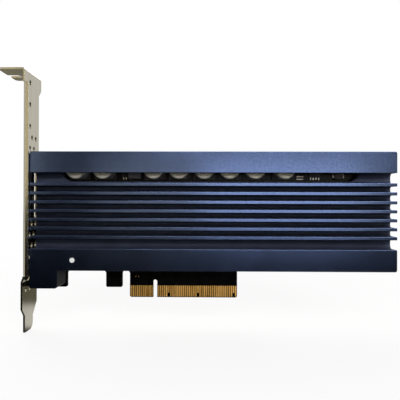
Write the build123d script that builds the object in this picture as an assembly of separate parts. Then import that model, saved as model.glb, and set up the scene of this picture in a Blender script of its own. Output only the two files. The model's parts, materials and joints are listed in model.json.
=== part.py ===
from build123d import *
import math
import os

os.makedirs("parts", exist_ok=True)

# Solid state drive on a half-length add-in card, upright with its component side towards -Y.
# The origin lies on the contact edge, at the centre of the key notch and of the board's thickness.
# Depths are measured along -Y from the middle of the board, so the front of the card is positive.
# All sizes are in millimetres.

# Card envelope
card_length = 167.65
board_height = 68.9
board_thickness = 1.57
key_to_bracket = 57.15
board_bracket_gap = 1.0
board_end_gap = 0.34
cut_overrun = 2.0
fit_clearance = 0.05

# Lower edge of the board: contact tongue, spur, large notch and foot
tongue_before_key = 12.15
tongue_after_key = 39.15
tongue_corner = 0.6
key_width = 1.9
key_depth = 8.45
shoulder_height = 12.7
foot_rise = 4.8
spur_gap = 3.65
spur_width = 7.8
notch_width = 18.65
notch_radius = 1.4
spur_corner_radius = 0.8
edge_bevel = 0.35

# Gold contacts
contact_pitch = 1.0
contact_width = 0.7
contact_length = 5.25
contact_setback = 0.4
contact_thickness = 0.05
short_contact_cut = 1.85
key_contact_offset = 1.5
contacts_before_key = 11
contacts_after_key = 38
short_front_contact_numbers = (17, 31, 48)
short_rear_contact_numbers = (1,)

# Heat sink section
heat_sink_height = 14.3
heat_sink_bottom = 14.5
heat_sink_bracket_gap = 1.79
groove_depth = 8.48
bottom_band_height = 9.85
last_groove_width = 4.41
fin_count = 7
fin_thickness = 1.43
first_groove_width = 4.6
top_band_height = 9.55
sink_top_drop = 0.47
fin_tip_radius = 0.15
sink_corner_radius = 0.9
groove_root_radius = 1.8
groove_root_share = 0.48
band_plate = 2.0
boss_radius = 2.9
boss_overlap = 0.4
screw_engagement = 3.6
sink_foot_lift = 1.62
sink_foot_inset = 0.6
sink_foot_overlap = 3.0
sink_foot_radius = 1.2

# Back-up capacitors, standing on the board in the heat sink's pocket
can_diameter = 10.0
can_height = 8.4
can_gap = 1.72
can_rim_chamfer = 0.45
can_groove_depth = 0.45
can_groove_width = 1.0
can_groove_rise = 1.5
can_base_margin = 0.15
can_base_height = 1.8
can_base_chamfer = 1.6
can_seat_depth = 0.3
can_sill_clearance = 1.15
can_top_clearance = 0.6
top_wall = 1.54
pocket_radius = 5.0
pocket_end_clearance = 2.0
backup_circuit_length = 29.8
capacitor_place_shares = (-3.07, -2.0, 0.0, 1.0, 2.0, 3.0, 4.0, 5.17)

# Small parts of the back-up circuit, seen in the window
backup_inductor_size = 6.2
backup_inductor_height = 4.5
backup_inductor_share = -0.8
backup_inductor_radius = 0.8
small_part_sill = 1.2
converter_height = 1.5
converter_length = 3.9
lead_spacing = 1.27
lead_width = 0.45
lead_thickness = 0.2
lead_reach = 1.0
lead_foot = 0.55
large_converter_lead_count = 4
large_converter_place_share = 6.47
small_converter_lead_count = 2
small_converter_place_share = -1.25
diode_length = 4.4
diode_width = 3.6
diode_height = 2.2
diode_draft_angle = 5
diode_place_share = 7.41
ballast_length = 3.3
ballast_width = 1.7
ballast_height = 0.9
ballast_place_share = 5.87

# Flash, working memory, controller and their thermal pads
package_height = 1.0
front_pad_thickness = 1.0
rear_pad_thickness = 0.4
pad_inset = 0.5
flash_width = 18.0
flash_length = 14.0
flash_gap = 1.5
flash_row_gap = 1.6
package_zone_rise = 8.5
controller_size = 25.0
controller_lid_size = 20.0
controller_lid_radius = 1.0
controller_substrate_height = 0.5
memory_width = 7.5
memory_length = 11.0
memory_gap = 2.4
memory_row_gap = 2.0
memory_columns = 3
package_top_clearance = 1.0
memory_controller_gap = 4.5
screw_lane_width = 7.0

# Power stage by the bracket
power_inductor_size = 6.6
power_inductor_height = 3.0
power_inductor_radius = 0.9
power_inductor_gap = 0.6
power_inductor_row_gap = 1.4
power_lane_gap = 0.3
power_inset = 2.75
power_pocket_clearance = 0.6
power_pocket_radius = 2.0
power_columns = 2
power_rows = 2

# Chip capacitors and other small parts
chip_length = 1.0
chip_width = 0.5
chip_height = 0.5
coupling_pitch = 1.25
coupling_count = 28
coupling_rise = 0.9
decoupling_pitch = 2.1
decoupling_count = 11
decoupling_gap = 1.3
decoupling_column_pitch = 1.5
decoupling_columns = 2
rear_decoupling_columns = 6
rear_decoupling_rows = 5
rear_decoupling_pitch = 3.4
firmware_length = 6.0
firmware_width = 5.0
firmware_height = 0.8
crystal_length = 3.2
crystal_width = 2.5
crystal_height = 0.7
crystal_radius = 0.4
small_chip_gap = 0.8
status_light_length = 1.6
status_light_width = 0.8
status_light_height = 0.6
status_light_pitch = 3.2
status_light_count = 3
status_light_inset = 0.9

# Rear plate, spacers and screws
rear_plate_thickness = 0.7
rear_plate_inset = 0.9
rear_plate_left_inset = 2.5
rear_plate_radius = 1.5
ear_clearance = 0.5
spacer_diameter = 5.0
spacer_land = 0.3
screw_diameter = 2.5
screw_clearance = 0.1
screw_head_diameter = 4.6
screw_head_height = 0.55
screw_head_chamfer = 0.2
screw_tip_chamfer = 0.4
recess_length = 2.6
recess_width = 0.55
recess_depth = 0.3
screw_hole_tip_gap = 0.5
pin_diameter = 2.35
pin_edge_radius = 0.25
pin_notch_inset = 6.07
pin_rise = 4.74

# Mounting bracket, one folded sheet
sheet_thickness = 0.86
bend_radius = 0.4
bracket_height = 120.02
bracket_below_edge = 14.02
strip_width = 18.42
tab_width = 21.59
tab_length = 11.43
tab_corner_radius = 1.8
tab_slot_width = 4.42
tab_slot_reach = 7.6
tab_slot_from_front = 13.1
wide_part_height = 6.2
wide_part_radius = 1.0
lip_reach = 2.5
lip_bottom = 12.0
lip_top_drop = 6.3
fold_leg = 2.0
fold_corner_radius = 0.5
joggle_offset = 0.75
joggle_top = 11.2
joggle_drop = 1.9
front_taper_start = 2.9
front_taper_end = 6.3
rear_taper_start = 2.2
rear_taper_end = 8.0
bracket_tongue_inset = 3.1
bracket_tongue_width = 10.16
bracket_tongue_radius = 3.6
bracket_tongue_front_radius = 0.6
ear_reach = 10.86
ear_height = 10.2
ear_screw_inset = 4.35
vent_diameter = 2.4
vent_first_column = 4.3
vent_column_pitch = 4.9
vent_columns = 3
vent_first_row = 5.4
vent_row_pitch = 5.0
vent_rows = 15
slot_first_row = 7
slot_last_row = 11
side_slot_width = 3.0
side_slot_height = 24.5
side_slot_radius = 1.0
column_vent_pitch = 10.1
column_vent_margin = 4.0

# Planes of the card, worked out from the sizes above
board_front = board_thickness / 2
board_rear = -board_thickness / 2
bracket_inner = -key_to_bracket
bracket_outer = bracket_inner - sheet_thickness
card_right = bracket_outer + card_length
board_left = bracket_inner + board_bracket_gap
board_right = card_right - board_end_gap

spur_right = -tongue_before_key - spur_gap
spur_left = spur_right - spur_width
notch_left = spur_left - notch_width

sink_left = bracket_inner + heat_sink_bracket_gap
sink_right = card_right
sink_front = board_front + heat_sink_height
sink_back = board_front + package_height + front_pad_thickness
groove_floor = sink_front - groove_depth
bottom_band_top = heat_sink_bottom + bottom_band_height
first_fin_bottom = bottom_band_top + last_groove_width
sink_top = board_height - sink_top_drop
top_band_bottom = sink_top - top_band_height
last_fin_top = top_band_bottom - first_groove_width
fin_pitch = (last_fin_top - fin_thickness - first_fin_bottom) / (fin_count - 1)
fin_gap = fin_pitch - fin_thickness

can_pitch = can_diameter + can_gap
pocket_top = sink_top - top_wall
can_line = pocket_top - can_top_clearance - can_diameter / 2
pocket_bottom = can_line - can_diameter / 2 - can_sill_clearance
can_base_bottom = can_line - can_diameter / 2 - can_base_margin
pocket_left = (capacitor_place_shares[0] * can_pitch) - can_diameter / 2 - pocket_end_clearance
pocket_right = (capacitor_place_shares[-1] * can_pitch) + can_diameter / 2 + backup_circuit_length
pocket_ceiling = sink_front - band_plate

power_pitch = power_inductor_size + power_inductor_gap
power_row_pitch = power_inductor_size + power_inductor_row_gap
power_height = power_rows * power_row_pitch - power_inductor_row_gap
power_left = board_left + power_inset
power_right = power_left + power_columns * power_pitch - power_inductor_gap
memory_pitch = memory_width + memory_gap
memory_left = power_right + power_lane_gap + screw_lane_width
controller_left = memory_left + memory_columns * memory_pitch - memory_gap + memory_controller_gap
controller_right = controller_left + controller_size
controller_x = (controller_left + controller_right) / 2
package_zone_bottom = heat_sink_bottom + package_zone_rise
package_zone_height = can_base_bottom - package_top_clearance - package_zone_bottom
flash_left = controller_right + screw_lane_width
flash_pitch = flash_width + flash_gap
flash_row_pitch = flash_length + flash_row_gap
flash_columns = int((board_right - flash_left + flash_gap) // flash_pitch)
flash_rows = int((package_zone_height + flash_row_gap) // flash_row_pitch)
memory_row_pitch = memory_length + memory_row_gap
memory_rows = int((package_zone_height + memory_row_gap) // memory_row_pitch)
package_middle = package_zone_bottom + flash_length + flash_row_gap / 2

rear_gap = package_height + rear_pad_thickness
plate_inner = board_rear - rear_gap
plate_outer = plate_inner - rear_plate_thickness

strip_rear = board_rear - sheet_thickness
strip_front = strip_rear + strip_width
wide_rear = strip_front - tab_width
tab_top = bracket_height - bracket_below_edge
tab_end = bracket_outer - tab_length
ear_screw_x = bracket_outer + ear_reach - ear_screw_inset

pin_x = notch_left + pin_notch_inset
pin_z = heat_sink_bottom + pin_rise

quarter_turn = 90

# Places of the screws that hold plate, board and heat sink together, and of the bracket's ears between them
bottom_row_shares = (0.19, 0.475, 0.746, 0.971)
bottom_row_z = heat_sink_bottom + bottom_band_height / 2
top_row_z = (top_band_bottom + sink_top) / 2
ear_to_row = ear_height / 2 + ear_clearance + spacer_land + spacer_diameter / 2
ear_centres = (bottom_row_z + ear_to_row, top_row_z - ear_to_row)
power_bottom = (ear_centres[0] + ear_centres[1] - power_height) / 2
power_top = power_bottom + power_height
sink_length = sink_right - sink_left
plate_screw_places = [(sink_left + share * sink_length, bottom_row_z) for share in bottom_row_shares]
plate_screw_places += [
    (memory_left - screw_lane_width / 2, package_middle),
    (controller_right + screw_lane_width / 2, package_middle),
    ((sink_left + pocket_left) / 2, top_row_z),
    ((pocket_right + sink_right) / 2, top_row_z),
]
ear_screw_places = [(ear_screw_x, z) for z in ear_centres]
screw_places = plate_screw_places + ear_screw_places


def area(x_low, x_high, y_low, y_high):
    """Rectangle between two corners of a drawing plane."""
    return Pos((x_low + x_high) / 2, (y_low + y_high) / 2) * Rectangle(x_high - x_low, y_high - y_low)


def raised(sketch, low, high):
    """Solid on a sketch of the card's face, between two depths."""
    return extrude(Plane.XZ.offset(low) * sketch, high - low)


def at_places(shape, places):
    """Copies of a shape that is drawn about the sketch's origin."""
    return [Pos(x, z) * shape for x, z in places]


def nearest(sketch, x, y):
    """Vertex of a sketch that lies closest to a point."""
    return sketch.vertices().sort_by_distance((x, y))[0]


def grid(left, bottom, width, length, pitch_x, pitch_z, columns, rows):
    """Centres of a block of equal packages, from its lower left corner."""
    first_x = left + width / 2
    first_z = bottom + length / 2
    return [(first_x + i * pitch_x, first_z + j * pitch_z) for j in range(rows) for i in range(columns)]


def save(name, solids):
    """Write one node, as one solid or as a group of separate solids."""
    parts = solids if isinstance(solids, list) else [solids]
    export_step(Compound([solid for part in parts for solid in part.solids()]), f"parts/{name}.step")


# Circuit board


def board_outline():
    """Face of the board, with the tongue, key notch, spur and large notch in its lower edge."""
    outline = area(board_left, board_right, 0, board_height)
    outline -= area(board_left, notch_left, 0, foot_rise)
    outline -= area(notch_left, spur_left, 0, shoulder_height)
    outline -= area(spur_left, spur_right, 0, foot_rise)
    outline -= area(spur_right, -tongue_before_key, 0, shoulder_height)
    outline -= area(tongue_after_key, board_right, 0, shoulder_height)
    notch_corners = [nearest(outline, x, shoulder_height) for x in (notch_left, spur_left)]
    gap_corners = [nearest(outline, x, shoulder_height) for x in (spur_right, -tongue_before_key)]
    outline = fillet(notch_corners + gap_corners, notch_radius)
    spur_corners = [nearest(outline, x, foot_rise) for x in (notch_left, spur_left, spur_right)]
    outline = fillet(spur_corners, spur_corner_radius)
    tongue_corners = [nearest(outline, x, 0) for x in (-tongue_before_key, tongue_after_key)]
    outline = chamfer(tongue_corners, tongue_corner)
    key_round = key_width / 2
    outline -= area(-key_round, key_round, 0, key_depth - key_round)
    outline -= Pos(0, key_depth - key_round) * Circle(key_round)
    return outline


def circuit_board():
    board = raised(board_outline(), board_rear, board_front)
    contact_edges = board.edges().filter_by(Axis.X).group_by(Axis.Z)[0]
    board = chamfer(contact_edges, edge_bevel)
    hole = Circle(screw_diameter / 2 + screw_clearance)
    for drilled in at_places(hole, screw_places):
        board -= raised(drilled, board_rear - cut_overrun, board_front + cut_overrun)
    pin_hole = Pos(pin_x, pin_z) * Circle(pin_diameter / 2 + fit_clearance)
    board -= raised(pin_hole, board_rear - cut_overrun, board_front + cut_overrun)
    return board


def contact_places():
    """Numbers and centre lines of the contacts, counted from the bracket's end."""
    before = [-key_contact_offset - i * contact_pitch for i in reversed(range(contacts_before_key))]
    after = [key_contact_offset + i * contact_pitch for i in range(contacts_after_key)]
    return list(enumerate(before + after, start=1))


def edge_contacts(low, high, short_contacts):
    """Contacts of one side of the tongue, the short ones cut back from the edge."""
    top = contact_setback + contact_length
    half = contact_width / 2
    contacts = []
    for number, x in contact_places():
        bottom = contact_setback + (short_contact_cut if number in short_contacts else 0)
        contacts.append(raised(area(x - half, x + half, bottom, top), low, high))
    return contacts


# Heat sink


def groove(low, high):
    """Section of one groove across the depth and height of the heat sink, with its roots nearly full-round."""
    section = area(-sink_front - cut_overrun, -groove_floor, low, high)
    root = min(groove_root_radius, groove_root_share * (high - low))
    return fillet(section.vertices().group_by(Axis.X)[-1], root)


def heat_sink_section():
    """Section of the heat sink: top band, fins and bottom band on one base."""
    section = area(-sink_front, -sink_back, heat_sink_bottom, sink_top)
    section -= groove(bottom_band_top, first_fin_bottom)
    for i in range(1, fin_count):
        low = first_fin_bottom + i * fin_pitch - fin_gap
        section -= groove(low, low + fin_gap)
    section -= groove(last_fin_top, top_band_bottom)
    return fillet(section.vertices().group_by(Axis.X)[0], fin_tip_radius)


def heat_sink_outline():
    """Outline of the finned body seen from the front, with rounded corners at its free end."""
    face = area(sink_left, sink_right, heat_sink_bottom, sink_top)
    return fillet(face.vertices().group_by(Axis.X)[-1], sink_corner_radius)


def heat_sink_foot():
    """Foot at the bracket's end, which reaches from the front face down to the board."""
    right = notch_left - sink_foot_inset
    bottom = foot_rise + sink_foot_lift
    face = area(sink_left, right, bottom, heat_sink_bottom + sink_foot_overlap)
    face = fillet(nearest(face, right, bottom), sink_foot_radius)
    return raised(face, board_front, sink_front)


def capacitor_pocket():
    """Pocket milled from the back, which breaks into the first groove as a long window."""
    face = area(pocket_left, pocket_right, pocket_bottom, pocket_top)
    face = fillet(face.vertices(), pocket_radius)
    return raised(face, board_front, pocket_ceiling)


def power_pocket():
    """Shallow relief over the power stage, open at the bracket's end."""
    right = power_right + power_pocket_clearance
    bottom = power_bottom - power_pocket_clearance
    top = power_top + power_pocket_clearance
    face = area(sink_left - cut_overrun, right, bottom, top)
    face = fillet([nearest(face, right, z) for z in (bottom, top)], power_pocket_radius)
    return raised(face, board_front, board_front + power_inductor_height + power_pocket_clearance)


def heat_sink():
    sink = extrude(Plane.YZ.offset(sink_left) * heat_sink_section(), sink_length)
    sink &= raised(heat_sink_outline(), board_front, sink_front)
    sink += heat_sink_foot()
    sink -= capacitor_pocket()
    sink -= power_pocket()
    for boss in at_places(Circle(boss_radius), screw_places):
        sink += raised(boss, board_front, sink_back + boss_overlap)
    hole = Circle(screw_diameter / 2 + fit_clearance)
    hole_end = board_front + screw_engagement + screw_hole_tip_gap
    for drilled in at_places(hole, screw_places):
        sink -= raised(drilled, board_rear, hole_end)
    pin_hole = Pos(pin_x, pin_z) * Circle(pin_diameter / 2 + fit_clearance)
    return sink - raised(pin_hole, board_rear, sink_front + cut_overrun)


# Packages and pads


def flash_places():
    return grid(flash_left, package_zone_bottom, flash_width, flash_length,
                flash_pitch, flash_row_pitch, flash_columns, flash_rows)


def memory_places():
    return grid(memory_left, package_zone_bottom, memory_width, memory_length,
                memory_pitch, memory_row_pitch, memory_columns, memory_rows)


def packages(width, length, places, low, high):
    """Flat packages or pads on one side of the board."""
    return [raised(face, low, high) for face in at_places(Rectangle(width, length), places)]


def front_pads(width, length, places):
    """Thermal pads between front packages and the back of the heat sink."""
    low = board_front + package_height
    return packages(width - 2 * pad_inset, length - 2 * pad_inset, places, low, sink_back)


def rear_pads(width, length, places):
    """Thermal pads between rear packages and the rear plate."""
    high = board_rear - package_height
    return packages(width - 2 * pad_inset, length - 2 * pad_inset, places, plate_inner, high)


controller_place = (controller_x, package_zone_bottom + controller_size / 2)


def controller_substrate():
    substrate = Pos(*controller_place) * Rectangle(controller_size, controller_size)
    return raised(substrate, board_front, board_front + controller_substrate_height)


def controller_lid():
    size = controller_lid_size
    lid = Pos(*controller_place) * RectangleRounded(size, size, controller_lid_radius)
    return raised(lid, board_front + controller_substrate_height, board_front + package_height)


def power_places():
    return grid(power_left, power_bottom, power_inductor_size, power_inductor_size,
                power_pitch, power_row_pitch, power_columns, power_rows)


def moulded_block(width, length, height, radius, place):
    """Moulded component with rounded corners and a softened top edge."""
    face = Pos(*place) * RectangleRounded(width, length, radius)
    block = raised(face, board_front, board_front + height)
    return chamfer(block.faces().sort_by(Axis.Y)[0].edges(), radius / 2)


def power_inductors():
    size = power_inductor_size
    height = power_inductor_height
    return [moulded_block(size, size, height, power_inductor_radius, place) for place in power_places()]


def coupling_capacitors():
    """Row of series capacitors between the contacts and the controller."""
    z = heat_sink_bottom + coupling_rise
    first = controller_x - (coupling_count - 1) * coupling_pitch / 2
    places = [(first + i * coupling_pitch, z) for i in range(coupling_count)]
    return packages(chip_width, chip_length, places, board_front, board_front + chip_height)


def decoupling_capacitors_front():
    """Columns of capacitors between the controller and the working memory."""
    left = controller_left - decoupling_gap - (decoupling_columns - 1) * decoupling_column_pitch
    bottom = controller_place[1] - (decoupling_count - 1) * decoupling_pitch / 2
    places = grid(left, bottom, 0, 0, decoupling_column_pitch, decoupling_pitch,
                  decoupling_columns, decoupling_count)
    return packages(chip_length, chip_width, places, board_front, board_front + chip_height)


def decoupling_capacitors_rear():
    """Block of capacitors behind the controller."""
    width = (rear_decoupling_columns - 1) * rear_decoupling_pitch
    length = (rear_decoupling_rows - 1) * rear_decoupling_pitch
    left = controller_place[0] - width / 2
    bottom = controller_place[1] - length / 2
    places = grid(left, bottom, 0, 0, rear_decoupling_pitch, rear_decoupling_pitch,
                  rear_decoupling_columns, rear_decoupling_rows)
    return packages(chip_length, chip_width, places, board_rear - chip_height, board_rear)


def firmware_memory():
    """Flat package below the controller, left of its centre line."""
    x = controller_x - firmware_length / 2 - small_chip_gap
    z = package_zone_bottom - small_chip_gap - firmware_width / 2
    package = Pos(x, z) * Rectangle(firmware_length, firmware_width)
    return raised(package, board_front, board_front + firmware_height)


def clock_crystal():
    """Small metal case below the controller, right of its centre line."""
    x = controller_x + crystal_length / 2 + small_chip_gap
    z = package_zone_bottom - small_chip_gap - crystal_width / 2
    case = Pos(x, z) * RectangleRounded(crystal_length, crystal_width, crystal_radius)
    return raised(case, board_front, board_front + crystal_height)


def status_lights():
    """Lights at the board's end, which shine through the bracket's long slot."""
    x = board_left + status_light_inset
    middle = vent_row((slot_first_row + slot_last_row) / 2)
    first = middle - (status_light_count - 1) * status_light_pitch / 2
    places = [(x, first + i * status_light_pitch) for i in range(status_light_count)]
    high = board_front + status_light_height
    return packages(status_light_width, status_light_length, places, board_front, high)


# Back-up capacitors and the parts beside them


def capacitor_places():
    return [(share * can_pitch, can_line) for share in capacitor_place_shares]


def stood_on_board(shape, depth, place):
    """Turn a part drawn along +Z so that it stands out of the card's front at a depth."""
    return Pos(place[0], -depth, place[1]) * Rot(quarter_turn, 0, 0) * shape


def can_profile():
    """Half section of a drawn can: turned rim, straight wall and a rolled groove near its foot."""
    radius = can_diameter / 2
    groove_top = can_groove_rise + can_groove_width
    neck = radius - can_groove_depth
    points = [
        (0, 0), (radius, 0), (radius, can_groove_rise), (neck, can_groove_rise + can_groove_width / 2),
        (radius, groove_top), (radius, can_height), (0, can_height),
    ]
    face = make_face(Polyline(*points, close=True))
    return chamfer(nearest(face, radius, can_height), can_rim_chamfer)


def capacitor_cans():
    can = revolve(Plane.XZ * can_profile(), Axis.Z)
    depth = board_front + can_base_height - can_seat_depth
    return [stood_on_board(can, depth, place) for place in capacitor_places()]


def capacitor_bases():
    """Square moulded bases with two cut corners and a round seat for the can."""
    size = can_diameter + 2 * can_base_margin
    plate = Rectangle(size, size)
    plate = chamfer(plate.vertices().group_by(Axis.Y)[-1], can_base_chamfer)
    base = extrude(plate, can_base_height)
    seat = Circle(can_diameter / 2 + fit_clearance)
    base -= extrude(Pos(0, 0, can_base_height - can_seat_depth) * seat, can_seat_depth + cut_overrun)
    return [stood_on_board(base, board_front, place) for place in capacitor_places()]


def window_place(share, length):
    """Place of a part that stands just above the window's lower edge."""
    return share * can_pitch, pocket_bottom + small_part_sill + length / 2


def backup_inductor():
    size = backup_inductor_size
    place = window_place(backup_inductor_share, size)
    return moulded_block(size, size, backup_inductor_height, backup_inductor_radius, place)


def converters():
    """Number of leads along one side and place of each package with bent leads."""
    span = converter_length + 2 * lead_reach
    return [
        (large_converter_lead_count, window_place(large_converter_place_share, span)),
        (small_converter_lead_count, window_place(small_converter_place_share, span)),
    ]


def converter_chips():
    chips_made = []
    for lead_count, place in converters():
        face = Pos(*place) * Rectangle(lead_count * lead_spacing, converter_length)
        low = board_front + lead_thickness
        chips_made.append(raised(face, low, board_front + converter_height))
    return chips_made


def bent_lead():
    """Gull-wing lead in section: foot on the board, rise and shoulder against the package."""
    mid = converter_height / 2
    path = [
        (lead_reach, 0), (lead_reach - lead_foot, 0), (lead_reach - lead_foot, mid - lead_thickness),
        (0, mid - lead_thickness), (0, mid), (lead_reach - lead_foot + lead_thickness, mid),
        (lead_reach - lead_foot + lead_thickness, lead_thickness), (lead_reach, lead_thickness),
    ]
    return extrude(Plane.YZ.offset(-lead_width / 2) * make_face(Polyline(*path, close=True)), lead_width)


def converter_leads():
    lead = bent_lead()
    leads_made = []
    for lead_count, (x, z) in converters():
        first = x - (lead_count - 1) * lead_spacing / 2
        for i in range(lead_count):
            lead_x = first + i * lead_spacing
            half = converter_length / 2
            for side, turn in ((1, 0), (-1, 2 * quarter_turn)):
                turned = Rot(0, 0, turn) * lead
                leads_made.append(stood_on_board(turned, board_front, (lead_x, z + side * half)))
    return leads_made


def protection_diode():
    place = window_place(diode_place_share, diode_width)
    face = Pos(*place) * Rectangle(diode_length, diode_width)
    return extrude(Plane.XZ.offset(board_front) * face, diode_height, taper=diode_draft_angle)


def ballast_chip():
    place = window_place(ballast_place_share, ballast_width)
    face = Pos(*place) * Rectangle(ballast_length, ballast_width)
    return raised(face, board_front, board_front + ballast_height)


# Rear plate, spacers, screws and pin


def rear_plate():
    """Flat plate behind the board, cut back round the bracket's ears."""
    left = board_left + rear_plate_left_inset
    right = board_right - rear_plate_inset
    bottom = heat_sink_bottom + rear_plate_inset
    top = board_height - rear_plate_inset
    face = area(left, right, bottom, top)
    ear_end = bracket_outer + ear_reach + ear_clearance
    reach = ear_height / 2 + ear_clearance
    for z in ear_centres:
        face -= area(left, ear_end, z - reach, z + reach)
    face = fillet(face.vertices(), rear_plate_radius)
    for drilled in at_places(Circle(screw_diameter / 2 + screw_clearance), plate_screw_places):
        face -= drilled
    return raised(face, plate_outer, plate_inner)


def rear_spacers():
    ring = Circle(spacer_diameter / 2) - Circle(screw_diameter / 2 + screw_clearance)
    return [raised(face, plate_inner, board_rear) for face in at_places(ring, plate_screw_places)]


def screw(seat_depth):
    """Low-headed screw along +Z, its seat at the origin and its head below, with a cross recess."""
    reach = board_front + screw_engagement - seat_depth
    shank = screw_diameter / 2
    head = screw_head_diameter / 2
    points = [
        (0, -screw_head_height), (head, -screw_head_height), (head, 0), (shank, 0),
        (shank, reach - screw_tip_chamfer), (shank - screw_tip_chamfer, reach), (0, reach),
    ]
    profile = make_face(Polyline(*points, close=True))
    profile = chamfer(nearest(profile, head, -screw_head_height), screw_head_chamfer)
    body = revolve(Plane.XZ * profile, Axis.Z)
    cross = Rectangle(recess_length, recess_width) + Rectangle(recess_width, recess_length)
    return body - extrude(Pos(0, 0, -screw_head_height) * cross, recess_depth)


def plate_screws():
    fastener = screw(plate_outer)
    return [stood_on_board(fastener, plate_outer, place) for place in plate_screw_places]


def bracket_screws():
    fastener = screw(strip_rear)
    return [stood_on_board(fastener, strip_rear, place) for place in ear_screw_places]


def locating_pin():
    """Pin pressed through the board and the heat sink's bottom band, flush with the front."""
    radius = pin_diameter / 2
    length = sink_front - board_rear
    points = [(0, 0), (radius, 0), (radius, length), (0, length)]
    profile = make_face(Polyline(*points, close=True))
    profile = fillet(nearest(profile, radius, length), pin_edge_radius)
    return stood_on_board(revolve(Plane.XZ * profile, Axis.Z), board_rear, (pin_x, pin_z))


# Mounting bracket


def bracket_side():
    """Side of the sheet: tab turned outward, strip, joggle and tongue."""
    joggle_bottom = joggle_top - joggle_drop
    rise = sheet_thickness * math.tan(math.atan2(joggle_offset, joggle_drop) / 2)
    outside = bend_radius + sheet_thickness
    bottom = -bracket_below_edge
    inner = FilletPolyline(
        (tab_end, tab_top), (bracket_inner, tab_top), (bracket_inner, joggle_top),
        (bracket_inner - joggle_offset, joggle_bottom), (bracket_inner - joggle_offset, bottom),
        radius=[outside, outside, bend_radius],
    )
    outer = FilletPolyline(
        (tab_end, tab_top - sheet_thickness), (bracket_outer, tab_top - sheet_thickness),
        (bracket_outer, joggle_top + rise), (bracket_outer - joggle_offset, joggle_bottom + rise),
        (bracket_outer - joggle_offset, bottom),
        radius=[bend_radius, bend_radius, outside],
    )
    ends = Line(inner @ 0, outer @ 0) + Line(inner @ 1, outer @ 1)
    return raised(make_face(inner + outer + ends), wide_rear, strip_front)


def bracket_front_outline():
    """Outline of the bracket seen along the card: wide head, strip and narrow tongue."""
    front = -strip_front
    rear = -strip_rear
    wide = -wide_rear
    head_bottom = tab_top - wide_part_height
    slope = wide - rear
    front_tongue = front + bracket_tongue_inset
    rear_tongue = front_tongue + bracket_tongue_width
    bottom = -bracket_below_edge
    points = [
        (front, tab_top), (front, -front_taper_start), (front_tongue, -front_taper_end),
        (front_tongue, bottom), (rear_tongue, bottom), (rear_tongue, -rear_taper_end),
        (rear, -rear_taper_start), (rear, head_bottom - slope), (wide, head_bottom), (wide, tab_top),
    ]
    outline = make_face(Polyline(*points, close=True))
    outline = fillet(nearest(outline, rear_tongue, bottom), bracket_tongue_radius)
    outline = fillet(nearest(outline, front_tongue, bottom), bracket_tongue_front_radius)
    outline = fillet(nearest(outline, wide, head_bottom), wide_part_radius)
    sheet_reach = bend_radius + tab_length + sheet_thickness
    return extrude(Plane.YZ.offset(bracket_outer - sheet_reach) * outline, sheet_reach + 2 * sheet_thickness)


def bracket_plan_outline():
    """Plan of the bracket: rounded tab with its open screw slot."""
    front = -strip_front
    plan = area(tab_end, bracket_inner, front, -wide_rear)
    plan = fillet(plan.vertices().group_by(Axis.X)[0], tab_corner_radius)
    slot_y = front + tab_slot_from_front
    slot_x = bracket_outer - tab_slot_reach
    half = tab_slot_width / 2
    plan -= area(tab_end - cut_overrun, slot_x, slot_y - half, slot_y + half)
    plan -= Pos(slot_x, slot_y) * Circle(half)
    return extrude(Plane.XY.offset(-bracket_below_edge) * plan, bracket_height)


def folded_edge(bracket, edge_y, inward, reach, low, high):
    """Turn an edge of the strip through a right angle, towards the board, between two heights."""
    face_y = edge_y + inward * sheet_thickness
    leg_y = edge_y + inward * fold_leg
    leg = area(bracket_outer, bracket_inner, *sorted((edge_y, leg_y)))
    flange = area(bracket_outer, bracket_outer + reach, *sorted((edge_y, face_y)))
    section = leg + flange
    section = fillet(nearest(section, bracket_inner, face_y), bend_radius)
    section = fillet(nearest(section, bracket_outer, edge_y), bend_radius + sheet_thickness)
    fold = extrude(Plane.XY.offset(low) * section, high - low)
    free_corners = fold.edges().filter_by(Axis.Y).group_by(Axis.X)[-1]
    fold = fillet(free_corners, fold_corner_radius)
    return bracket - extrude(Plane.XY.offset(low) * leg, high - low) + fold


def vent_row(number):
    """Height of a row of vents."""
    return vent_first_row + number * vent_row_pitch


def vent_places():
    """Staggered vents beside the board, and one column of vents above it."""
    half_pitch = vent_column_pitch / 2
    places = []
    for row in range(vent_rows):
        if slot_first_row <= row <= slot_last_row:
            continue
        shift = half_pitch if row % 2 else 0
        count = vent_columns - row % 2
        places += [(vent_first_column + shift + i * vent_column_pitch, vent_row(row)) for i in range(count)]
    column = vent_first_column + half_pitch
    first = vent_row(vent_rows - 2) + column_vent_pitch
    column_vents = int((tab_top - column_vent_margin - first) // column_vent_pitch) + 1
    places += [(column, first + i * column_vent_pitch) for i in range(column_vents)]
    return places


def mounting_bracket():
    bracket = bracket_side() & bracket_front_outline() & bracket_plan_outline()
    front = -strip_front
    bracket = folded_edge(bracket, front, 1, lip_reach, lip_bottom, tab_top - lip_top_drop)
    for z in ear_centres:
        bracket = folded_edge(bracket, -strip_rear, -1, ear_reach, z - ear_height / 2, z + ear_height / 2)
    holes = Plane.YZ.offset(bracket_outer - cut_overrun)
    reach = 2 * cut_overrun + sheet_thickness
    for from_front, z in vent_places():
        bracket -= extrude(holes * Pos(front + from_front, z) * Circle(vent_diameter / 2), reach)
    slot_y = front + vent_first_column + 2 * vent_column_pitch
    slot = Pos(slot_y, vent_row((slot_first_row + slot_last_row) / 2))
    slot *= RectangleRounded(side_slot_width, side_slot_height, side_slot_radius)
    bracket -= extrude(holes * slot, reach)
    for place in at_places(Circle(screw_diameter / 2 + screw_clearance), ear_screw_places):
        bracket -= raised(place, strip_rear - cut_overrun, board_rear)
    return bracket


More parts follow.
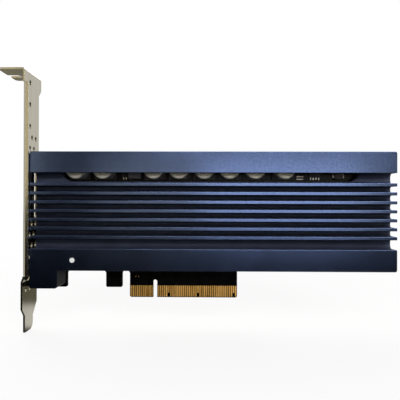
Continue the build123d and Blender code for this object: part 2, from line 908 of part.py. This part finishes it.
save("heat_sink", heat_sink())
save("circuit_board", circuit_board())
front_contact_depths = (board_front, board_front + contact_thickness)
rear_contact_depths = (board_rear - contact_thickness, board_rear)
save("edge_contacts_front", edge_contacts(*front_contact_depths, short_front_contact_numbers))
save("edge_contacts_rear", edge_contacts(*rear_contact_depths, short_rear_contact_numbers))
save("mounting_bracket", mounting_bracket())
save("locating_pin", locating_pin())
save("capacitor_cans", capacitor_cans())
save("capacitor_bases", capacitor_bases())
save("backup_inductor", backup_inductor())
save("converter_chips", converter_chips())
save("converter_leads", converter_leads())
save("protection_diode", protection_diode())
save("ballast_chip", ballast_chip())
save("controller_substrate", controller_substrate())
save("controller_lid", controller_lid())
save("controller_pad", front_pads(controller_lid_size, controller_lid_size, [controller_place]))
front_packages = (board_front, board_front + package_height)
rear_packages = (board_rear - package_height, board_rear)
save("flash_packages_front", packages(flash_width, flash_length, flash_places(), *front_packages))
save("flash_packages_rear", packages(flash_width, flash_length, flash_places(), *rear_packages))
save("flash_pads_front", front_pads(flash_width, flash_length, flash_places()))
save("flash_pads_rear", rear_pads(flash_width, flash_length, flash_places()))
save("memory_packages_front", packages(memory_width, memory_length, memory_places(), *front_packages))
save("memory_packages_rear", packages(memory_width, memory_length, memory_places(), *rear_packages))
save("memory_pads_front", front_pads(memory_width, memory_length, memory_places()))
save("power_inductors", power_inductors())
save("coupling_capacitors", coupling_capacitors())
save("decoupling_capacitors_front", decoupling_capacitors_front())
save("decoupling_capacitors_rear", decoupling_capacitors_rear())
save("firmware_memory", firmware_memory())
save("clock_crystal", clock_crystal())
save("status_lights", status_lights())
save("rear_plate", rear_plate())
save("rear_spacers", rear_spacers())
save("plate_screws", plate_screws())
save("bracket_screws", bracket_screws())
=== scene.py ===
import json
import math

import bmesh
import bpy
from mathutils import Matrix, Vector


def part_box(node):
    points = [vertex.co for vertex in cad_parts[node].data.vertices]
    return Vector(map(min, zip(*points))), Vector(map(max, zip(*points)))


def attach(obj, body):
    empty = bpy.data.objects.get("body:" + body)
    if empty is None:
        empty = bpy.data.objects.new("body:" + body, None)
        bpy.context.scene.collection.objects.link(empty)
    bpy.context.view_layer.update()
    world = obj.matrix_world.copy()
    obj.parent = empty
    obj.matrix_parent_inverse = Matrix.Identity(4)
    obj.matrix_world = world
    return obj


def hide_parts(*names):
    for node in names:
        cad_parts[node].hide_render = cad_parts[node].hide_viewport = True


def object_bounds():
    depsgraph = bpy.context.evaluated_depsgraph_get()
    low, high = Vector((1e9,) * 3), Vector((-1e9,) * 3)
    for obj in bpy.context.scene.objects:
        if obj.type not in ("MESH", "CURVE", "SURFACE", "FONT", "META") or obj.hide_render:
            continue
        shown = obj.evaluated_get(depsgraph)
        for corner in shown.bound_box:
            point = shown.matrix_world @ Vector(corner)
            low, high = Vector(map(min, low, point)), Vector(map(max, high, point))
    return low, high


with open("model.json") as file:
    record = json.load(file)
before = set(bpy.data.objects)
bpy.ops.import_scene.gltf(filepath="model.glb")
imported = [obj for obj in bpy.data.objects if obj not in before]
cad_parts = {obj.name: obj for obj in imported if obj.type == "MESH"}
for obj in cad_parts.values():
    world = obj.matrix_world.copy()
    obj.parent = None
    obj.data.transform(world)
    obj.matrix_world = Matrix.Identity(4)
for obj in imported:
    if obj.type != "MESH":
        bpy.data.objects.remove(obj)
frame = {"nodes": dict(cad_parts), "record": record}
cad_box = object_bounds()
nodes = frame["nodes"]
mm = 0.001

# Camera, fitted to the photograph
camera_place = Vector((25.13, -234.37, 45.97)) * mm
camera_forward = Vector((-0.01624, 1.0, 0.00279))
camera_roll = -0.0027
camera_lens = 43.94
sensor_width = 36.0
clip_range = (0.01, 50.0)

# Soft boxes: place in mm, width and height in metres, power and colour
soft_boxes = {
    "key_light": ((173.0, -800.0, 391.0), (0.62, 0.30), 6.6, (1.0, 1.0, 1.0)),
    "front_light": ((172.0, -800.0, 55.0), (0.325, 0.138), 0.284, (0.95, 1.0, 1.10)),
    "front_glow": ((92.0, -800.0, 62.0), (0.615, 0.147), 0.286, (1.0, 0.90, 0.64)),
    "side_strip": ((-386.0, -800.0, 183.0), (0.065, 0.275), 0.134, (1.0, 0.88, 0.57)),
    "fill_light": ((-400.0, 800.0, 700.0), (0.8, 0.8), 6.0, (1.0, 1.0, 1.0)),
}
light_target = Vector((40.0, 0.0, 45.0)) * mm

# Floor and room, in metres: colours that diffuse light sees, and where one gives way to the next
white = (1.0, 1.0, 1.0)
floor_gap = 0.2 * mm
floor_size = 6.0
floor_front = (0.002, 0.002, 0.002)
floor_behind = (0.28, 0.27, 0.21)
floor_change = (-0.01, 0.01)
sheet_end = (0.03, 0.06)
shadow_fade = (0.1, 0.45)
shadow_glow_share = 0.85
room_front = (0.05, 0.05, 0.055)
backdrop = (0.70, 0.69, 0.66)
backdrop_start = (-0.1, 0.2)

# Dark wedge of the studio: its tip behind the card, and its edges in metres across for each metre ahead
wedge_tip = Vector((0.025, 0.204))
wedge_left_room = (-0.47, -0.44)
wedge_left_floor = (-0.57, -0.50)
wedge_right = (0.50, 0.60)
wedge_start = (0.05, 0.25)
least_ahead = 0.001

# Noise and relief of the finishes. A relief is its height in mm, its strength and the eased edge in mm.
even = (1.0, 1.0, 1.0)
fine_detail = 6.0
broad_detail = 3.0
broad_seed = 11.0
ramp_range = (0.35, 0.65)
spread_range = (0.3, 0.7)
bevel_samples = 4
plain_relief_strength = 0.5

# Heat sink's finish: satin front faces, dull grooves and sides, and painted shade that makes these near black
# low down. Sizes in mm.
speck_size = 0.8
speck_seed = 3.0
sink_smudge = 9.0
sink_grain = 0.12
sink_relief = (0.004, 0.3, 0.05)
recess_depth = (0.10, 0.30)
satin_colours = ((0.062, 0.090, 0.182), (0.086, 0.120, 0.236))
satin_gloss = (0.17, 0.19)
satin_metallic = 1.0
dull_colours = ((0.044, 0.053, 0.090), (0.056, 0.068, 0.112))
dull_gloss = (0.55, 0.62)
dull_metallic = 0.3
# Painted shade: the dull grooves and sides turn near black below these heights in mm
low_painted_shade = (0.008, 0.009, 0.012)
painted_shade_rise = (10.0, 30.0)
sink_specular = 0.2

# Board's finish: solder mask, and laminate on the cut edges. Sizes in mm.
board_smudge = 5.0
board_weave = 0.5
board_relief = (0.006, 0.3, 0.04)
mask_start = (0.70, 0.76)
mask_colours = ((0.0015, 0.0015, 0.0015), (0.003, 0.003, 0.003))
mask_gloss = (0.20, 0.26)
laminate_colours = ((0.022, 0.024, 0.013), (0.040, 0.042, 0.024))
laminate_gloss = 0.6
board_specular = 0.08

# Plain finishes: colours, metallic, gloss, grain, its height, smudge in mm, then any stretch and eased edge
finishes = {
    "black_anodised": (((0.010, 0.010, 0.011), (0.016, 0.016, 0.018)), 0.6, (0.42, 0.52), 0.15, 0.006, 12.0),
    "gold": (((0.70, 0.38, 0.090), (0.82, 0.48, 0.145)), 1.0, (0.30, 0.42), 0.10, 0.004, 2.0,
             (1.0, 1.0, 12.0)),
    "nickel_steel": (((0.345, 0.317, 0.245), (0.40, 0.372, 0.288)), 1.0, (0.14, 0.18), 0.10, 0.003, 5.0,
                     (1.0, 1.0, 14.0), 0.12),
    "bright_steel": (((0.72, 0.73, 0.74), (0.82, 0.83, 0.84)), 1.0, (0.20, 0.30), 0.08, 0.003, 2.0),
    "white_plastic": (((0.86, 0.87, 0.90), (0.92, 0.93, 0.95)), 0.0, (0.35, 0.45), 0.12, 0.004, 1.5),
    "can_aluminium": (((0.56, 0.53, 0.44), (0.68, 0.65, 0.56)), 0.15, (0.46, 0.56), 0.10, 0.005, 3.0),
    "dark_plastic": (((0.010, 0.010, 0.010), (0.018, 0.018, 0.019)), 0.0, (0.45, 0.6), 0.12, 0.010, 2.0),
    "grey_ferrite": (((0.10, 0.10, 0.105), (0.14, 0.14, 0.145)), 0.0, (0.40, 0.55), 0.15, 0.014, 2.0),
    "mould_compound": (((0.012, 0.012, 0.013), (0.020, 0.020, 0.021)), 0.0, (0.5, 0.65), 0.10, 0.008, 3.0),
    "tinned_leads": (((0.50, 0.47, 0.41), (0.66, 0.63, 0.57)), 1.0, (0.30, 0.42), 0.06, 0.004, 0.8),
    "brown_plastic": (((0.026, 0.010, 0.010), (0.040, 0.017, 0.016)), 0.0, (0.40, 0.55), 0.12, 0.008, 1.5),
    "pale_ceramic": (((0.060, 0.052, 0.046), (0.090, 0.080, 0.070)), 0.0, (0.4, 0.55), 0.08, 0.005, 1.0),
    "tan_ceramic": (((0.22, 0.13, 0.07), (0.32, 0.20, 0.12)), 0.0, (0.35, 0.5), 0.08, 0.004, 0.8),
    "lid_metal": (((0.30, 0.31, 0.32), (0.42, 0.43, 0.44)), 1.0, (0.32, 0.42), 0.10, 0.004, 3.0,
                  (8.0, 1.0, 1.0)),
    "thermal_pad": (((0.20, 0.28, 0.36), (0.27, 0.36, 0.45)), 0.0, (0.6, 0.75), 0.20, 0.020, 2.0),
    "clear_light": (((0.60, 0.68, 0.55), (0.72, 0.78, 0.66)), 0.0, (0.15, 0.25), 0.10, 0.003, 1.0),
    "brass_ring": (((0.42, 0.29, 0.10), (0.54, 0.40, 0.17)), 1.0, (0.30, 0.42), 0.08, 0.004, 1.0),
    "black_screw": (((0.012, 0.012, 0.013), (0.022, 0.022, 0.024)), 0.5, (0.35, 0.5), 0.08, 0.005, 1.0),
}

# Capacitor cans, in mm: places as shares of the pitch, rim, rolled groove (rise, width and sink) and bead
can_shares = (-3.07, -2.0, 0.0, 1.0, 2.0, 3.0, 4.0, 5.17)
can_pitch = 11.72
can_rim_radius = 0.9
can_groove = (1.5, 1.0, 0.45)
can_bead = (3.9, 0.08)
can_foot_ease = 0.2
can_steps = 40
can_rim_steps = 6
can_groove_steps = 8

# Chips with tinned ends: size across and up in mm, columns, rows, and the axis of the ends (0 across, 2 up)
capped_chips = {
    "coupling_capacitors": ((0.5, 1.0), 28, 1, 2),
    "decoupling_capacitors_front": ((1.0, 0.5), 2, 11, 0),
    "decoupling_capacitors_rear": ((1.0, 0.5), 6, 5, 0),
    "ballast_chip": ((3.3, 1.7), 1, 1, 2),
}
terminal_share = 0.24
terminal_skin = 0.03

# Tracks, vias and test points on the board's tongue, in mm
contact_pitch = 1.0
contact_width = 0.7
contacts_before_key = 11
contacts_after_key = 38
trace_width = 0.22
trace_height = 0.02
via_radius = 0.32
via_rises = (1.2, 2.4, 3.6)
via_steps = 12
test_point_radius = 0.24
test_point_steps = 20
test_points = ((-9.4, 9.93), (-7.9, 9.93), (1.2, 13.2))

# Diode's leads, in mm
lead_half_width = 1.0
lead_reach = 0.5
lead_height = 1.1
lead_ease = 0.1

# Angle in degrees above which an edge stays sharp, and steps across an eased edge
sharp_angle = 35.0
bevel_segments = 2


# Shader helpers


def new_material(name):
    material = bpy.data.materials.new(name)
    material.use_nodes = True
    tree = material.node_tree
    return material, tree, tree.nodes["Principled BSDF"]


def noise(tree, size_mm, stretch=even, detail=fine_detail, seed=0.0):
    """Noise whose grains are size_mm across, longer along an axis whose stretch is above one."""
    place = tree.nodes.new("ShaderNodeTexCoord")
    mapping = tree.nodes.new("ShaderNodeMapping")
    texture = tree.nodes.new("ShaderNodeTexNoise")
    tree.links.new(place.outputs["Object"], mapping.inputs["Vector"])
    tree.links.new(mapping.outputs["Vector"], texture.inputs["Vector"])
    mapping.inputs["Location"].default_value = (seed, seed, seed)
    mapping.inputs["Scale"].default_value = tuple(1.0 / (size_mm * mm * s) for s in stretch)
    texture.inputs["Scale"].default_value = 1.0
    texture.inputs["Detail"].default_value = detail
    return texture.outputs["Fac"]


def ramp(tree, source, colours):
    """Colours spread over the middle of a noise."""
    node = tree.nodes.new("ShaderNodeValToRGB")
    tree.links.new(source, node.inputs["Fac"])
    for element, position, colour in zip(node.color_ramp.elements, ramp_range, colours):
        element.position = position
        element.color = (*colour, 1.0)
    return node.outputs["Color"]


def mapped(tree, source, start, end, low=0.0, high=1.0, kind="LINEAR"):
    """Value brought from the range start to end into the range low to high."""
    node = tree.nodes.new("ShaderNodeMapRange")
    node.interpolation_type = kind
    tree.links.new(source, node.inputs["Value"])
    node.inputs["From Min"].default_value = start
    node.inputs["From Max"].default_value = end
    node.inputs["To Min"].default_value = low
    node.inputs["To Max"].default_value = high
    return node.outputs["Result"]


def spread(tree, source, low, high):
    """A noise brought into a range of values."""
    return mapped(tree, source, *spread_range, low, high)


def step_between(tree, source, start, end):
    """Smooth step of a value from nought at start to one at end."""
    return mapped(tree, source, start, end, kind="SMOOTHSTEP")


def calculated(tree, operation, *values):
    """Result of a sum on values, each a constant or the output of a node."""
    node = tree.nodes.new("ShaderNodeMath")
    node.operation = operation
    for value, socket in zip(values, node.inputs):
        if isinstance(value, bpy.types.NodeSocket):
            tree.links.new(value, socket)
        else:
            socket.default_value = value
    return node.outputs[0]


def blend(tree, factor, first, second, kind="RGBA"):
    """Mix of two colours or two values, each a constant or the output of a node."""
    node = tree.nodes.new("ShaderNodeMix")
    node.data_type = kind
    tree.links.new(factor, node.inputs[0])
    a, b, out = (6, 7, 2) if kind == "RGBA" else (2, 3, 0)
    for value, socket in ((first, node.inputs[a]), (second, node.inputs[b])):
        if isinstance(value, bpy.types.NodeSocket):
            tree.links.new(value, socket)
        else:
            socket.default_value = (*value, 1.0) if kind == "RGBA" else value
    return node.outputs[out]


def along(tree, axis):
    """Place on one axis of the row's frame, in metres."""
    place = tree.nodes.new("ShaderNodeTexCoord")
    axes = tree.nodes.new("ShaderNodeSeparateXYZ")
    tree.links.new(place.outputs["Object"], axes.inputs[0])
    return axes.outputs[axis]


def relief(tree, shader, source, height_mm, strength, edge_mm):
    """Grain in relief, over edges that catch the light as if they were eased by edge_mm."""
    edge = tree.nodes.new("ShaderNodeBevel")
    edge.samples = bevel_samples
    edge.inputs["Radius"].default_value = edge_mm * mm
    node = tree.nodes.new("ShaderNodeBump")
    tree.links.new(source, node.inputs["Height"])
    tree.links.new(edge.outputs["Normal"], node.inputs["Normal"])
    node.inputs["Distance"].default_value = height_mm * mm
    node.inputs["Strength"].default_value = strength
    tree.links.new(node.outputs["Normal"], shader.inputs["Normal"])


# Materials of the card


def plain_finish(name, colours, metallic, gloss, grain, height, smudge, stretch=even, edge=0.06):
    """Finish with a fine grain in relief, and larger smudges in colour and gloss."""
    material, tree, shader = new_material(name)
    fine = noise(tree, grain, stretch)
    broad = noise(tree, smudge, stretch, broad_detail, broad_seed)
    shader.inputs["Metallic"].default_value = metallic
    tree.links.new(ramp(tree, broad, colours), shader.inputs["Base Color"])
    tree.links.new(spread(tree, broad, *gloss), shader.inputs["Roughness"])
    relief(tree, shader, fine, height, plain_relief_strength, edge)
    return material


def anodised_sink():
    """Satin on the machined front faces, dull and darker in the grooves and sides, with painted shade near
    black low down.
    """
    material, tree, shader = new_material("blue_anodised")
    speck = noise(tree, speck_size, even, broad_detail, speck_seed)
    broad = noise(tree, sink_smudge, even, broad_detail, broad_seed)
    fine = noise(tree, sink_grain)
    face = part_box("heat_sink")[0][1]
    recess = step_between(tree, along(tree, "Y"), *(face + depth * mm for depth in recess_depth))
    # Painted shade: the dull grooves and sides darken to near black towards the bottom
    above_painted_shade = step_between(tree, along(tree, "Z"), *(rise * mm for rise in painted_shade_rise))
    satin = ramp(tree, speck, satin_colours)
    dull = blend(tree, above_painted_shade, low_painted_shade, ramp(tree, broad, dull_colours))
    tree.links.new(blend(tree, recess, satin, dull), shader.inputs["Base Color"])
    tree.links.new(blend(tree, recess, satin_metallic, dull_metallic, "FLOAT"), shader.inputs["Metallic"])
    shader.inputs["Specular IOR Level"].default_value = sink_specular
    gloss = spread(tree, broad, *satin_gloss)
    rough = spread(tree, broad, *dull_gloss)
    tree.links.new(blend(tree, recess, gloss, rough, "FLOAT"), shader.inputs["Roughness"])
    relief(tree, shader, fine, *sink_relief)
    return material


def masked_board():
    """Black solder mask with a faint weave under it, and bare laminate on the cut edges."""
    material, tree, shader = new_material("black_board")
    broad = noise(tree, board_smudge, even, broad_detail, broad_seed)
    weave = noise(tree, board_weave)
    off_middle = calculated(tree, "ABSOLUTE", along(tree, "Y"))
    mask = step_between(tree, off_middle, *(depth * mm for depth in mask_start))
    black = ramp(tree, broad, mask_colours)
    laminate = ramp(tree, weave, laminate_colours)
    tree.links.new(blend(tree, mask, laminate, black), shader.inputs["Base Color"])
    gloss = spread(tree, broad, *mask_gloss)
    tree.links.new(blend(tree, mask, laminate_gloss, gloss, "FLOAT"), shader.inputs["Roughness"])
    shader.inputs["Specular IOR Level"].default_value = board_specular
    relief(tree, shader, weave, *board_relief)
    return material


materials = {name: plain_finish(name, *values) for name, values in finishes.items()}
materials["blue_anodised"] = anodised_sink()
materials["black_board"] = masked_board()
for subpart in frame["record"]["subparts"]:
    for place in nodes[subpart["node"]].material_slots:
        place.material = materials[subpart["material_slot"]]


# Dressed pieces


def add_piece(name, form, slot, stands_for=()):
    """Turn a bmesh into a piece that rides on the card."""
    mesh = bpy.data.meshes.new(name)
    bmesh.ops.recalc_face_normals(form, faces=form.faces)
    form.to_mesh(mesh)
    form.free()
    mesh.shade_smooth()
    mesh.set_sharp_from_angle(angle=math.radians(sharp_angle))
    piece = bpy.data.objects.new(name, mesh)
    bpy.context.scene.collection.objects.link(piece)
    mesh.materials.append(materials[slot])
    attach(piece, "root")
    if stands_for:
        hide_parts(*stands_for)


def turned(form, outline, centre_x, centre_z, front_y, steps):
    """Body of revolution about the depth direction, from pairs of radius and depth behind front_y."""
    rings = []
    for radius, depth in outline:
        if radius == 0.0:
            rings.append([form.verts.new((centre_x, front_y + depth, centre_z))])
            continue
        ring = []
        for i in range(steps):
            angle = 2.0 * math.pi * i / steps
            x = centre_x + radius * math.cos(angle)
            z = centre_z + radius * math.sin(angle)
            ring.append(form.verts.new((x, front_y + depth, z)))
        rings.append(ring)
    for one, two in zip(rings, rings[1:]):
        for i in range(steps):
            j = (i + 1) % steps
            if len(one) == 1:
                form.faces.new((one[0], two[i], two[j]))
            elif len(two) == 1:
                form.faces.new((one[i], one[j], two[0]))
            else:
                form.faces.new((one[i], one[j], two[j], two[i]))


def block(form, low, high, ease=0.0):
    """Box between two corners, its edges eased by a bevel."""
    size = [b - a for a, b in zip(low, high)]
    middle = [(a + b) / 2 for a, b in zip(low, high)]
    place = Matrix.Translation(middle) @ Matrix.Diagonal((*size, 1.0))
    made = bmesh.ops.create_cube(form, size=1.0, matrix=place)
    if ease > 0.0:
        edges = list({edge for vert in made["verts"] for edge in vert.link_edges})
        bmesh.ops.bevel(form, geom=edges, offset=ease, segments=bevel_segments, profile=0.5, affect="EDGES")


def flat_disc(radius, height):
    """Outline of a disc, for turned."""
    return [(0.0, 0.0), (radius, 0.0), (radius, height), (0.0, height)]


def can_outline(radius, height):
    """Radius and depth of a drawn can, from the middle of its top to its foot, with a rolled groove."""
    rise, width, sink = (value * mm for value in can_groove)
    bead_radius, bead_depth = (value * mm for value in can_bead)
    rim = can_rim_radius * mm
    ease = can_foot_ease * mm
    outline = [(0.0, bead_depth), (bead_radius - bead_depth, bead_depth), (bead_radius, 0.0)]
    for i in range(can_rim_steps + 1):
        angle = math.radians(90.0 * i / can_rim_steps)
        outline.append((radius - rim + rim * math.sin(angle), rim - rim * math.cos(angle)))
    groove_middle = height - rise - width / 2
    for i in range(can_groove_steps + 1):
        share = i / can_groove_steps - 0.5
        depth = groove_middle + share * width
        outline.append((radius - sink * math.cos(math.pi * share) ** 2, depth))
    outline += [(radius, height - ease), (radius - ease, height), (0.0, height)]
    return outline


def dress_cans():
    low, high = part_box("capacitor_cans")
    radius = (high[2] - low[2]) / 2
    centre_z = (high[2] + low[2]) / 2
    form = bmesh.new()
    for share in can_shares:
        outline = can_outline(radius, high[1] - low[1])
        turned(form, outline, share * can_pitch * mm, centre_z, low[1], can_steps)
    add_piece("capacitor_cans_drawn", form, "can_aluminium", ["capacitor_cans"])


def spaced(low, high, size, count):
    """Centres of equal bodies, spread evenly between two limits."""
    first = low + size / 2
    pitch = (high - low - size) / max(count - 1, 1)
    return [first + i * pitch for i in range(count)]


def cap_ends(form, node, size, columns, rows, axis):
    """Tinned ends round the chips of a node, at both ends of an axis, down to the board but not into it."""
    low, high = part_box(node)
    skin = terminal_skin * mm
    size = [value * mm for value in size]
    for x in spaced(low[0], high[0], size[0], columns):
        for z in spaced(low[2], high[2], size[1], rows):
            start = [x - size[0] / 2, low[1], z - size[1] / 2]
            end = [x + size[0] / 2, high[1], z + size[1] / 2]
            reach = (end[axis] - start[axis]) * terminal_share
            for side in (0, 1):
                a = [value - skin for value in start]
                b = [value + skin for value in end]
                if abs(low[1]) > abs(high[1]):
                    b[1] = end[1]
                else:
                    a[1] = start[1]
                if side:
                    a[axis] = end[axis] - reach
                else:
                    b[axis] = start[axis] + reach
                block(form, a, b, skin)


def dress_chips():
    form = bmesh.new()
    for node, values in capped_chips.items():
        cap_ends(form, node, *values)
    add_piece("chip_terminals", form, "tinned_leads")


def dress_tongue():
    """Fine tracks under the mask, from the contacts of both sides to their vias."""
    form = bmesh.new()
    half = trace_width / 2 * mm
    height = trace_height * mm
    inset = contact_width / 2 * mm
    pitch = contact_pitch * mm
    board_low, board_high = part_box("circuit_board")
    sides = (("edge_contacts_front", board_low[1], -height), ("edge_contacts_rear", board_high[1], height))
    for node, face, rise in sides:
        low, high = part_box(node)
        near, far = sorted((face, face + rise))
        places = [low[0] + inset + i * pitch for i in range(contacts_before_key)]
        places += [high[0] - inset - i * pitch for i in range(contacts_after_key)]
        for number, x in enumerate(places):
            end = high[2] + via_rises[number % len(via_rises)] * mm
            block(form, (x - half, near, high[2]), (x + half, far, end))
            turned(form, flat_disc(via_radius * mm, height), x, end, near, via_steps)
    add_piece("tongue_tracks", form, "black_board")


def dress_test_points():
    form = bmesh.new()
    height = 2 * trace_height * mm
    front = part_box("circuit_board")[0][1] - height
    disc = flat_disc(test_point_radius * mm, height)
    for x, z in test_points:
        turned(form, disc, x * mm, z * mm, front, test_point_steps)
    add_piece("test_points", form, "gold")


def dress_diode():
    """Flat tinned leads folded under the diode's ends."""
    low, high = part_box("protection_diode")
    form = bmesh.new()
    half = lead_half_width * mm
    top = high[1] - lead_height * mm
    middle = (low[2] + high[2]) / 2
    for x, reach in ((low[0], -lead_reach * mm), (high[0], lead_reach * mm)):
        a, b = sorted((x, x + reach))
        block(form, (a, top, middle - half), (b, high[1], middle + half), lead_ease * mm)
    add_piece("diode_leads", form, "tinned_leads")


dress_cans()
dress_chips()
dress_tongue()
dress_test_points()
dress_diode()


# Stage


def dark_wedge(tree, across, ahead, left_edge):
    """One in the dark wedge of the studio, from a place or a direction across and ahead."""
    slant = calculated(tree, "DIVIDE", across, calculated(tree, "MAXIMUM", ahead, least_ahead))
    left = step_between(tree, slant, *left_edge)
    right = step_between(tree, slant, *wedge_right)
    started = step_between(tree, ahead, *wedge_start)
    return calculated(tree, "MULTIPLY", calculated(tree, "SUBTRACT", left, right), started)


def sees_white(tree, dark):
    """One for rays from the camera or through glass, and for reflections of all but the dark parts."""
    path = tree.nodes.new("ShaderNodeLightPath")
    straight = calculated(tree, "MAXIMUM", path.outputs["Is Camera Ray"], path.outputs["Is Transmission Ray"])
    pale = calculated(tree, "SUBTRACT", 1.0, dark)
    reflected = calculated(tree, "MULTIPLY", path.outputs["Is Glossy Ray"], pale)
    return calculated(tree, "MAXIMUM", straight, reflected)


def stage_material():
    """White floor with a soft shadow. Its wedge and its far part are dark to reflections, and diffuse rays
    see all of it dim."""
    material = bpy.data.materials.new("stage_white")
    material.use_nodes = True
    tree = material.node_tree
    tree.nodes.clear()
    output = tree.nodes.new("ShaderNodeOutputMaterial")
    diffuse = tree.nodes.new("ShaderNodeBsdfDiffuse")
    glow = tree.nodes.new("ShaderNodeEmission")
    mix = tree.nodes.new("ShaderNodeMixShader")
    distance = tree.nodes.new("ShaderNodeVectorMath")
    place = tree.nodes.new("ShaderNodeTexCoord")
    distance.operation = "LENGTH"
    tree.links.new(place.outputs["Object"], distance.inputs[0])
    fade = mapped(tree, distance.outputs["Value"], *shadow_fade, shadow_glow_share)
    depth = along(tree, "Y")
    across = calculated(tree, "SUBTRACT", along(tree, "X"), wedge_tip.x)
    ahead = calculated(tree, "SUBTRACT", wedge_tip.y, depth)
    behind = step_between(tree, depth, *floor_change)
    beyond = step_between(tree, depth, *sheet_end)
    front = calculated(tree, "SUBTRACT", dark_wedge(tree, across, ahead, wedge_left_floor), behind)
    seen_white = sees_white(tree, calculated(tree, "MAXIMUM", front, beyond))
    dim = blend(tree, behind, floor_front, floor_behind)
    tree.links.new(blend(tree, seen_white, dim, white), diffuse.inputs["Color"])
    glow.inputs["Color"].default_value = (*white, 1.0)
    glow.inputs["Strength"].default_value = 1.0
    tree.links.new(calculated(tree, "MULTIPLY", seen_white, fade), mix.inputs["Fac"])
    tree.links.new(diffuse.outputs[0], mix.inputs[1])
    tree.links.new(glow.outputs[0], mix.inputs[2])
    tree.links.new(mix.outputs[0], output.inputs["Surface"])
    return material


def lay_floor():
    size = floor_size / 2
    low = cad_box[0][2] - floor_gap
    mesh = bpy.data.meshes.new("floor")
    corners = [(-size, -size, low), (size, -size, low), (size, size, low), (-size, size, low)]
    mesh.from_pydata(corners, [], [(0, 1, 2, 3)])
    floor = bpy.data.objects.new("floor", mesh)
    bpy.context.scene.collection.objects.link(floor)
    mesh.materials.append(stage_material())


def light_room():
    """White room with the dark wedge. To diffuse rays, a pale backdrop behind the card and a dim front."""
    world = bpy.data.worlds.new("room")
    bpy.context.scene.world = world
    world.use_nodes = True
    tree = world.node_tree
    tree.nodes.clear()
    output = tree.nodes.new("ShaderNodeOutputWorld")
    light = tree.nodes.new("ShaderNodeBackground")
    place = tree.nodes.new("ShaderNodeTexCoord")
    axes = tree.nodes.new("ShaderNodeSeparateXYZ")
    tree.links.new(place.outputs["Generated"], axes.inputs[0])
    ahead = calculated(tree, "MULTIPLY", axes.outputs["Y"], -1.0)
    behind = step_between(tree, axes.outputs["Y"], *backdrop_start)
    dim = blend(tree, behind, room_front, backdrop)
    seen_white = sees_white(tree, dark_wedge(tree, axes.outputs["X"], ahead, wedge_left_room))
    tree.links.new(blend(tree, seen_white, dim, white), light.inputs["Color"])
    light.inputs["Strength"].default_value = 1.0
    tree.links.new(light.outputs[0], output.inputs["Surface"])


def soft_box(name, place, size, power, colour):
    data = bpy.data.lights.new(name, "AREA")
    data.shape = "RECTANGLE"
    data.size, data.size_y = size
    data.energy = power
    data.color = colour
    lamp = bpy.data.objects.new(name, data)
    lamp.location = Vector(place) * mm
    lamp.rotation_euler = (light_target - lamp.location).to_track_quat("-Z", "Y").to_euler()
    bpy.context.scene.collection.objects.link(lamp)


def set_camera():
    data = bpy.data.cameras.new("camera")
    data.sensor_fit = "HORIZONTAL"
    data.sensor_width = sensor_width
    data.lens = camera_lens
    data.clip_start, data.clip_end = clip_range
    camera = bpy.data.objects.new("camera", data)
    ahead = camera_forward.normalized()
    upright = Vector((camera_roll, 0.0, 1.0))
    right = ahead.cross(upright).normalized()
    above = right.cross(ahead)
    turn = Matrix((right, above, -ahead)).transposed().to_4x4()
    camera.matrix_world = Matrix.Translation(camera_place) @ turn
    bpy.context.scene.collection.objects.link(camera)
    bpy.context.scene.camera = camera


lay_floor()
light_room()
for box_name, values in soft_boxes.items():
    soft_box(box_name, *values)
set_camera()
bpy.context.scene.view_settings.view_transform = "Standard"
